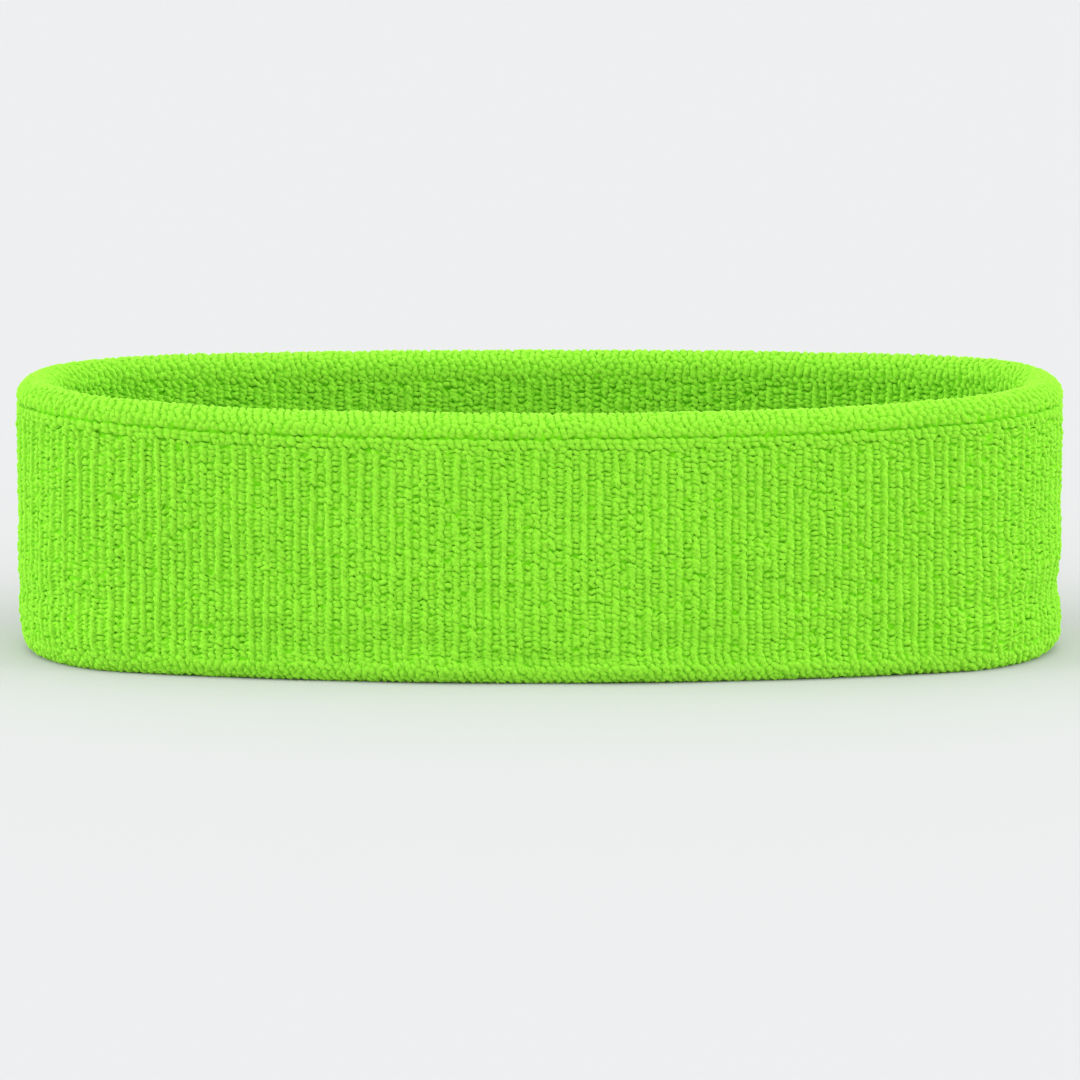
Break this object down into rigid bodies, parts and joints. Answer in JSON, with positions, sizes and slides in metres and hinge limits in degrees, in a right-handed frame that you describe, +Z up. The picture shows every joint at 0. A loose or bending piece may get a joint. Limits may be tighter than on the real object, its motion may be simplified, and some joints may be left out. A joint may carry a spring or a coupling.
{
  "type": "sweat headband",
  "caption": "Double-faced terry knit sweat headband with folded edges, laid-in elastic and an overlocked seam inside, opened to a relaxed oval.",
  "frame": {"origin": "middle of the oval, level with the lower edge that the band stands on", "axes": "+X along the band's width, +Y through its depth from front to back, +Z up through the head opening"},
  "size_m": [0.19, 0.07, 0.05],
  "materials": {
    "cotton_terry": "soft looped terry pile, neon green",
    "nylon_ground": "matte knitted nylon, neon green",
    "covered_elastane": "matte, yarn-covered elastic",
    "sewing_thread": "textured polyester thread with a slight sheen"
  },
  "bodies": {
    "root": {"terry_pile": "cotton_terry", "ground_knit": "nylon_ground", "elastic_inlay": "covered_elastane", "seam_needle_thread": "sewing_thread", "seam_upper_looper": "sewing_thread", "seam_lower_looper": "sewing_thread"}
  },
  "joints": []
}
